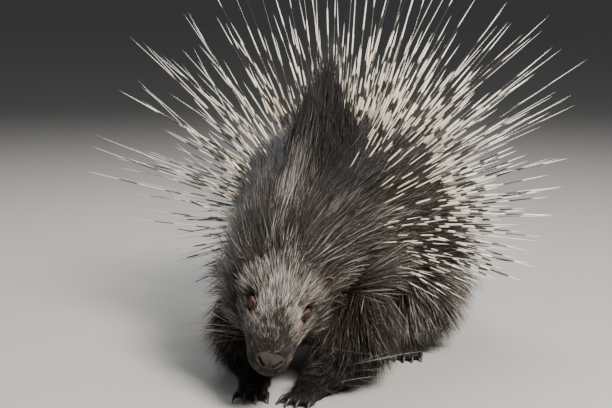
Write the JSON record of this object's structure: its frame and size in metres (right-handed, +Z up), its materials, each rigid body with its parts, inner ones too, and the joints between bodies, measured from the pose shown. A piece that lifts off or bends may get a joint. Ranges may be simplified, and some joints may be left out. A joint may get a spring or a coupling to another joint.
{
  "type": "crested porcupine",
  "caption": "Life-size still model of a crested porcupine standing with its head down to feed and its long banded quills raised in a fan.",
  "frame": {"origin": "on the floor, under the middle of the whole model's box, quills included", "axes": "+Z up, the animal faces -Y, its left side is +X"},
  "size_m": [0.7262, 0.6948, 0.6064],
  "materials": {
    "bristly_hide": "coarse grey-brown bristles with pale tips, nearly black on chest and legs",
    "quilled_hide": "horny quills banded dark brown and cream over bristly hide",
    "bare_skin": "dark brown bare skin on ears, feet and nose",
    "eye": "wet, nearly black"
  },
  "bodies": {
    "root": {"head": "bristly_hide", "jaw": "bristly_hide", "ear_left": "bare_skin", "ear_right": "bare_skin", "eye_left": "eye", "eye_right": "eye", "neck": "bristly_hide", "torso_front": "bristly_hide", "torso_rear": "quilled_hide", "tail": "quilled_hide", "foreleg_left": "bristly_hide", "foreleg_right": "bristly_hide", "forefoot_left": "bare_skin", "forefoot_right": "bare_skin", "hindleg_left": "bristly_hide", "hindleg_right": "bristly_hide", "hindfoot_left": "bare_skin", "hindfoot_right": "bare_skin"}
  },
  "joints": []
}
